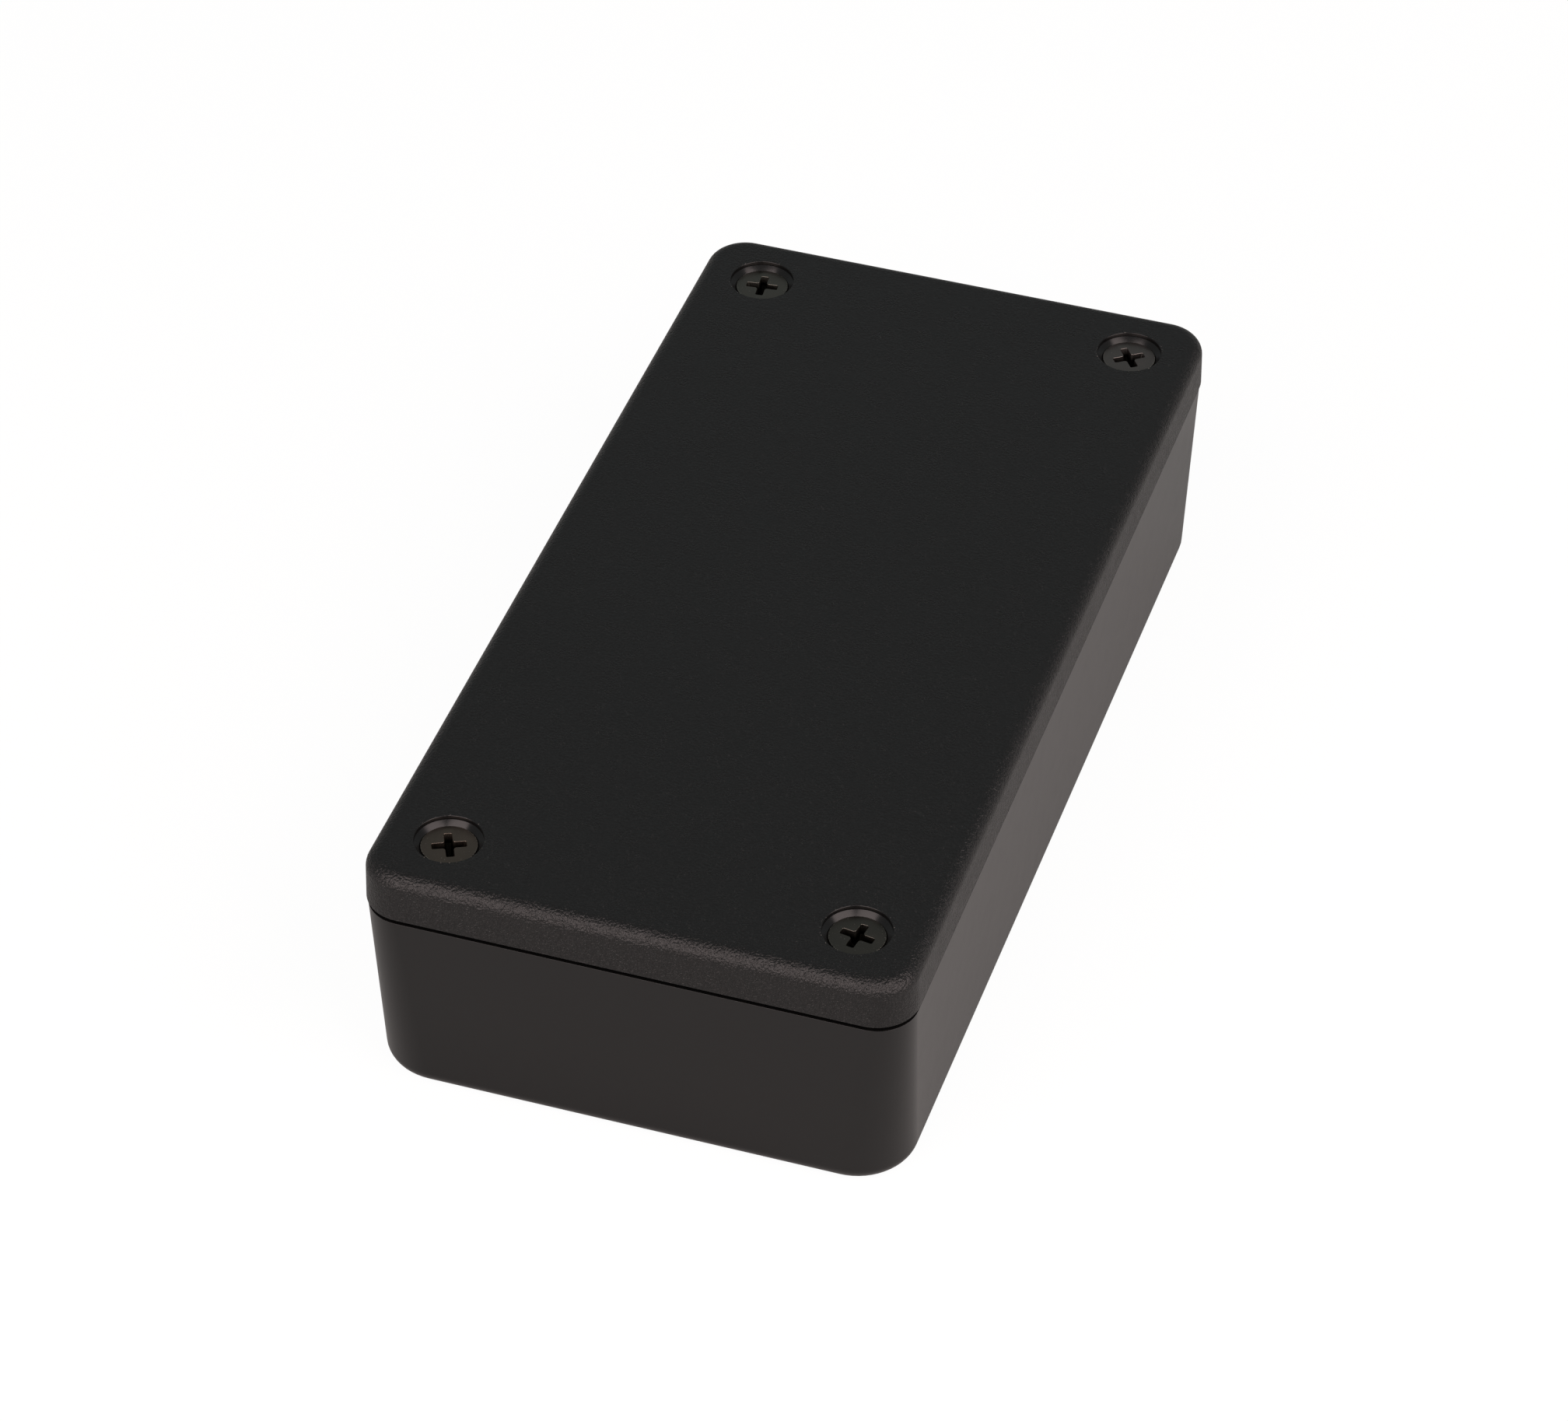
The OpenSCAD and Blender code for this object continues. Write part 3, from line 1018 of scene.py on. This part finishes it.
@dataclass
class Lid:
    """The lid: top plate, drafted skirt with its rebate, four posts and four stepped screw holes."""

    sizes: BoxSizes
    finish: MouldedAbs
    corners: PieceTree
    top_edge: float = 1.4
    skirt_edge: float = 0.06
    lead_in: float = 0.2
    counterbore: float = 3.05
    rim_edge: float = 0.08
    seat_gap: float = 0.05
    clear_radius: float = 1.6
    flare_rise: float = 0.38

    def rings(self) -> list[list[Vector]]:
        """Rings from the middle of the top, over the edge, round to the middle of the inside."""
        s, draft = self.sizes, self.sizes.lid_draft
        slant = cos(radians(draft))
        top_z = s.height - self.top_edge
        top = (s.lid_radius(top_z) - self.top_edge / slant, top_z)
        low_z = s.skirt_z + self.skirt_edge
        low = (s.lid_radius(low_z) - self.skirt_edge / slant, low_z)
        outside = [*arc(top, self.top_edge, 90, draft, 10), *arc(low, self.skirt_edge, draft, -90, 5)]
        rebate = s.lip_radius + s.lip_gap
        ledge_z = s.lip_z + 1.5 * s.lip_gap
        pocket = s.hollow_radius
        inside = [
            (rebate + self.lead_in, s.skirt_z),
            (rebate, s.skirt_z + self.lead_in),
            (rebate, ledge_z),
            (pocket, ledge_z),
            (pocket - (s.plate_z - ledge_z) * tan(radians(draft)), s.plate_z),
        ]
        return s.lid_plan.rings(outside) + s.tub_plan(s.tub_corner).rings(inside)

    def screw_hole(self) -> bmesh.types.BMesh:
        """Tool for one stepped hole: clearance hole, conical seat, short counterbore and rounded rim."""
        s = self.sizes
        cone_foot_z = s.seat_z - (s.head_radius + self.seat_gap - self.clear_radius)
        rim = (self.counterbore + self.rim_edge, s.height - self.rim_edge)
        return revolve(
            [
                (0, s.post_z - 1),
                (self.clear_radius, s.post_z - 1),
                (self.clear_radius, cone_foot_z),
                (s.head_radius + self.seat_gap, s.seat_z),
                (self.counterbore, s.seat_z + self.flare_rise),
                *arc(rim, self.rim_edge, 180, 90, 5),
                (rim[0], s.height + 1),
                (0, s.height + 1),
            ],
            96,
        )

    def build(self) -> bpy.types.Object:
        """Builds and dresses the lid.

        Returns:
            The lid.
        """
        s = self.sizes
        lid = make_object("lid_moulding", loft(self.rings()))
        places = {"Pitch X": 2 * s.screw_x * MM, "Pitch Y": 2 * s.screw_y * MM}
        post = make_object("lid_post", extrude(arc((0, 0), s.post_radius, 0, 352.5, 47), s.post_z, s.plate_z + 0.5))
        hole = make_object("screw_hole", self.screw_hole())
        for tool, cut in ((post, Cut.ADD), (hole, Cut.REMOVE)):
            combine(lid, self.corners.grow(tool.name, {"Piece": tool, **places}), cut)
            bpy.data.objects.remove(tool)
        smooth(lid)
        dress(lid, self.finish.material(), "lid", "lid")
        return lid


@dataclass
class Screw:
    """A countersunk tapping screw with a cross recess and a wound thread."""

    sizes: BoxSizes
    threads: PieceTree
    core: float = 1.09
    crest: float = 1.45
    pitch: float = 1.1
    point: float = 1.6
    edge_radius: float = 0.04
    span: float = 3.05
    arm: float = 0.72
    depth: float = 1.5
    end_lean: float = 16.0
    side_lean: float = 4.0
    flare: float = 0.06
    inner_radius: float = 0.24

    def cross_ring(self, span: float, arm: float, inner: float, z: float) -> list[Vector]:
        """Outline of the recess at one depth: a cross with rounded ends and hollow corners.

        Args:
            span: Tip-to-tip width.
            arm: Width of an arm.
            inner: Radius of the hollows between the arms.
            z: Height of the ring.

        Returns:
            The ring.
        """
        end = min(arm, span) * 0.18
        reach, half = span / 2, arm / 2
        quarter = [
            *arc((reach - end, half - end), end, 0, 90, 3),
            *arc((half + inner, half + inner), inner, -90, -180, 5),
            *arc((half - end, reach - end), end, 0, 90, 3),
        ]
        turned = [Matrix.Rotation(pi / 2 * k, 2) @ Vector(point) for k in range(4) for point in quarter]
        return [Vector((x, y, z)) for x, y in turned]

    def recess(self) -> bmesh.types.BMesh:
        """Tool for the cross recess: a rolled edge, steep arms and a pit under their middle."""
        top, arms = self.sizes.head_z, 0.6 * self.depth
        rings = [self.cross_ring(self.span + 2 * self.flare, self.arm + 2 * self.flare, self.inner_radius, top + 0.2)]
        for out, drop in arc((1.0, 1.0), 1.0, 270, 180, 5):
            grow = 2 * self.flare * out
            rings.append(self.cross_ring(self.span + grow, self.arm + grow, self.inner_radius, top - self.flare * drop))
        fall = arms - self.flare
        ends = self.span - 2 * fall * tan(radians(self.end_lean))
        sides = self.arm - 2 * fall * tan(radians(self.side_lean))
        rings.append(self.cross_ring(ends, sides, self.inner_radius * 0.8, top - arms))
        rings.append(self.cross_ring(0.36, 0.2, 0.02, top - self.depth))
        return loft(rings)

    def shank(self) -> bpy.types.Object:
        """The threaded shank and its point, closed at both ends."""
        s = self.sizes
        top = s.seat_z - (s.head_radius - self.core) + 0.3
        turns = int((top - s.tip_z) / self.pitch) + 2
        shank = self.threads.grow(
            "shank",
            {
                "Core radius": self.core * MM,
                "Crest radius": self.crest * MM,
                "Pitch": self.pitch * MM,
                "Top": top * MM,
                "Tip": s.tip_z * MM,
                "Point length": self.point * MM,
                "Tip radius": self.core / 3 * MM,
                "Turns": turns,
            },
        )
        mesh = bmesh.new()
        mesh.from_mesh(shank.data)
        bmesh.ops.holes_fill(mesh, edges=[edge for edge in mesh.edges if edge.is_boundary], sides=0)
        bmesh.ops.recalc_face_normals(mesh, faces=mesh.faces)
        mesh.to_mesh(shank.data)
        mesh.free()
        return shank

    def build(self, corner: Corner) -> bpy.types.Object:
        """Builds and dresses the screw of one corner.

        Args:
            corner: Where it goes and how its head is turned.

        Returns:
            The screw.
        """
        s = self.sizes
        narrow = self.core * 0.8
        head = revolve(
            [
                (0, s.head_z),
                *arc((s.head_radius - self.edge_radius, s.head_z - self.edge_radius), self.edge_radius, 90, 0, 4),
                (s.head_radius, s.seat_z),
                (narrow, s.seat_z - (s.head_radius - narrow)),
                (0, s.seat_z - (s.head_radius - narrow)),
            ],
            72,
        )
        screw = make_object(f"{corner.node}_threaded", head)
        combine(screw, self.shank(), Cut.ADD)
        combine(screw, make_object("recess", self.recess()), Cut.REMOVE)
        low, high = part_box(corner.node)
        middle = Vector(((low.x + high.x) / 2, (low.y + high.y) / 2, 0))
        screw.data.transform(Matrix.Translation(middle) @ Matrix.Rotation(radians(corner.turn), 4, "Z"))
        smooth(screw)
        finish = BlackenedSteel(
            f"blackened_steel_{corner.name.lower()}", corner.tint, (s.screw_x, s.screw_y), s.head_z, s.head_radius
        )
        dress(screw, finish.material(), corner.node, corner.node)
        return screw


# ---------------------------------------------------------------- the studio


def direction(azimuth: float, elevation: float) -> Vector:
    """Unit vector from the box towards a bearing. Azimuth 0 is the front, -Y, and 90 is +X."""
    a, e = radians(azimuth), radians(elevation)
    return Vector((sin(a) * cos(e), -cos(a) * cos(e), sin(e)))


def look(towards: Vector, roll: float = 0.0) -> Matrix:
    """Rotation that points -Z along a direction, with the horizon level before the roll, in degrees."""
    return (towards.to_track_quat("-Z", "Y").to_matrix() @ Matrix.Rotation(radians(roll), 3, "Z")).to_4x4()


@dataclass(frozen=True)
class Softbox:
    """An area lamp that faces the box: size is its width and height, radiance how bright its face looks."""

    name: str
    azimuth: float
    elevation: float
    distance: float
    size: tuple[float, float]
    radiance: float
    colour: str = "#ffece9"

    def build(self) -> bpy.types.Object:
        """Builds the lamp."""
        data = bpy.data.lights.new(self.name, "AREA")
        data.shape = "RECTANGLE"
        data.size, data.size_y = self.size
        data.color = linear(self.colour)[:3]
        data.energy = self.radiance * pi * self.size[0] * self.size[1]
        lamp = bpy.data.objects.new(self.name, data)
        bpy.context.scene.collection.objects.link(lamp)
        out = direction(self.azimuth, self.elevation)
        lamp.matrix_world = Matrix.Translation(out * self.distance) @ look(-out)
        return lamp


@dataclass
class Studio:
    """Pale floor, plain soft light and the camera."""

    floor: StudioFloor = field(default_factory=StudioFloor)
    ambient: float = 0.245
    ambient_colour: str = "#f8ffff"
    floor_size: float = 6.0
    floor_drop: float = 0.02
    azimuth: float = 17.705
    elevation: float = 40.015
    roll: float = 0.463
    distance: float = 537.24
    lens: float = 134.25
    aim: tuple[float, float, float] = (-0.705, -4.236, 12.0)
    lamps: tuple[Softbox, ...] = (
        Softbox("softbox_left", -18.0, 32.0, 0.7, (0.65, 0.88), 3.0),
        Softbox("softbox_right", 68.0, 32.0, 0.5, (0.46, 0.63), 2.95),
    )

    def build(self) -> None:
        """Builds the floor, the lamps, the world and the camera."""
        world = bpy.data.worlds.new("soft_grey")
        bpy.context.scene.world = world
        world.use_nodes = True
        world.node_tree.nodes.clear()
        glow = add_node(
            world.node_tree, "ShaderNodeBackground", {"Color": linear(self.ambient_colour), "Strength": self.ambient}
        )
        add_node(world.node_tree, "ShaderNodeOutputWorld", {"Surface": glow.outputs[0]})
        half = self.floor_size / 2 / MM
        sheet = bmesh.new()
        corners = [sheet.verts.new((x * half, y * half, 0)) for x, y in ((-1, -1), (1, -1), (1, 1), (-1, 1))]
        sheet.faces.new(corners)
        floor = make_object("floor", sheet, Matrix.Translation((0, 0, -self.floor_drop)))
        floor.data.materials.append(self.floor.material())
        for lamp in self.lamps:
            lamp.build()
        self.camera()
        bpy.context.scene.view_settings.view_transform = "Standard"

    def camera(self) -> None:
        """Builds the camera: a long lens that looks down over the front right corner."""
        data = bpy.data.cameras.new("camera")
        data.lens = self.lens
        data.sensor_width = 36.0
        data.clip_start = 0.01
        camera = bpy.data.objects.new("camera", data)
        bpy.context.scene.collection.objects.link(camera)
        out = direction(self.azimuth, self.elevation)
        at = (Vector(self.aim) + out * self.distance) * MM
        camera.matrix_world = Matrix.Translation(at) @ look(-out, self.roll)
        bpy.context.scene.camera = camera


def main() -> None:
    """Builds everything in order; each dressed piece logs its face count."""
    logging.basicConfig(level=logging.INFO, format="%(message)s")
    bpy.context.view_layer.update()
    sizes = BoxSizes()
    corners, rows, threads = corner_tree(), row_tree(), thread_tree(48, 10)
    satin = MouldedAbs("black_abs_satin", "#0e0e0e", roughness=0.12, sheen_level=0.46, wave_depth=0.008)
    Tub(sizes, satin, corners, rows).build()
    grained = MouldedAbs(
        "black_abs_grained",
        "#0e0e0e",
        roughness=0.26,
        sheen_level=0.34,
        grain=0.22,
        grain_depth=0.15,
        pins=(sizes.screw_x, sizes.screw_y, Lid.counterbore),
    )
    Lid(sizes, grained, corners).build()
    screw = Screw(sizes, threads)
    for corner in Corner:
        screw.build(corner)
    Studio().build()


if __name__ == "__main__":
    main()
